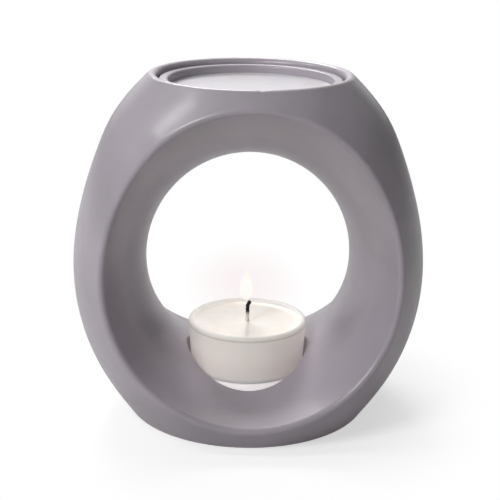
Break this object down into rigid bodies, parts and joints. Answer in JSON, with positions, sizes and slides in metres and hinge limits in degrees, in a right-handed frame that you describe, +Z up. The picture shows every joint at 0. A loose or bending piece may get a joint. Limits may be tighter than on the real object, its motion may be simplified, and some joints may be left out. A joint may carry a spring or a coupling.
{
  "type": "essential oil burner",
  "caption": "Barrel-shaped glazed ceramic oil burner with a flared round window through it, a lift-out dish of scented oil in its top and a tealight standing in a recess below.",
  "frame": {"origin": "middle of the foot ring, on the surface that the burner stands on", "axes": "+Z up along the barrel's axis, the window opens along Y with the pictured mouth towards -Y, +X to the right as pictured"},
  "size_m": [0.1133, 0.0872, 0.11],
  "materials": {
    "body_glaze": "satin lilac-grey glaze",
    "dish_glaze": "satin lilac-grey glaze",
    "scented_oil": "still, pale and milky liquid surface",
    "clear_cup": "clear moulded plastic",
    "candle_wax": "cream-white wax, glossy where it has melted",
    "wick_tab": "bright tinned sheet",
    "wick_cotton": "braided cotton, charred at the tip"
  },
  "bodies": {
    "burner": {"burner_body": "body_glaze"},
    "dish": {"oil_dish": "dish_glaze", "oil_pool": "scented_oil"},
    "tealight": {"tealight_cup": "clear_cup", "tealight_wax": "candle_wax", "wick_sustainer": "wick_tab", "wick": "wick_cotton"}
  },
  "joints": [
    {"name": "dish_lift", "type": "slide", "parent": "burner", "child": "dish", "axis": [0, 0, 1], "range_m": [0, 0.04]},
    {"name": "tealight_lift", "type": "slide", "parent": "burner", "child": "tealight", "axis": [0, 0, 1], "range_m": [0, 0.025]}
  ]
}
